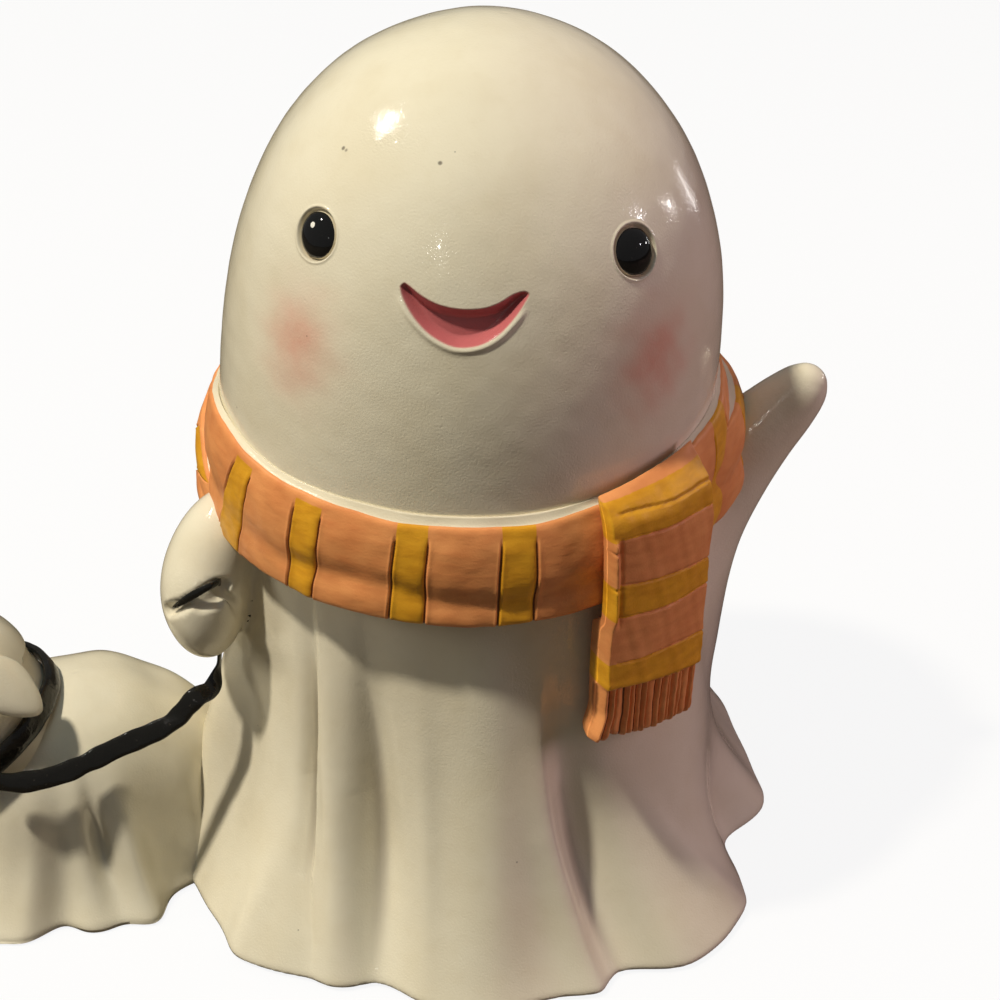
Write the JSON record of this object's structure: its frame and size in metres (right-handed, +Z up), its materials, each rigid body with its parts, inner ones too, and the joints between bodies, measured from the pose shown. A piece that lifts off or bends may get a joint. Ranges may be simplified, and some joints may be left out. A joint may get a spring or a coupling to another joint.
{
  "type": "ghost figurine",
  "caption": "Hollow cast ghost figurine in a draped sheet and striped scarf, one arm raised, the other leading a small sheet-draped dog on a strap; flat felted base.",
  "frame": {"origin": "on the ground under the ghost's upright axis, at the middle of the base felt's underside", "axes": "+Z up, -Y the way the ghost faces, +X towards the raised arm; the small dog stands on the -X side"},
  "size_m": [0.3305, 0.2227, 0.2995],
  "materials": {
    "white_glaze": "cream white glossy glaze over a cast resin shell, fine casting pits and soft sheen",
    "black_gloss": "high gloss black enamel on small cast beads",
    "scarf_paint": "satin orange brush paint with ochre stripes between engraved brown lines",
    "strap_paint": "glossy black paint on a flat cast strap",
    "bare_casting": "unglazed cast resin plate",
    "felt": "thin grey pressed felt"
  },
  "bodies": {
    "root": {"body_shell": "white_glaze", "head_shell": "white_glaze", "raised_arm": "white_glaze", "leash_arm": "white_glaze", "dog_body_shell": "white_glaze", "dog_head_shell": "white_glaze", "dog_ear_left": "white_glaze", "dog_ear_right": "white_glaze", "eye_left": "black_gloss", "eye_right": "black_gloss", "dog_nose": "black_gloss", "dog_eye_left": "black_gloss", "dog_eye_right": "black_gloss", "scarf_neck_wrap": "scarf_paint", "scarf_back_wrap": "scarf_paint", "scarf_tail": "scarf_paint", "leash_strap": "strap_paint", "dog_collar": "strap_paint", "base_plate": "bare_casting", "dog_base_plate": "bare_casting", "base_felt": "felt", "dog_felt": "felt"}
  },
  "joints": []
}
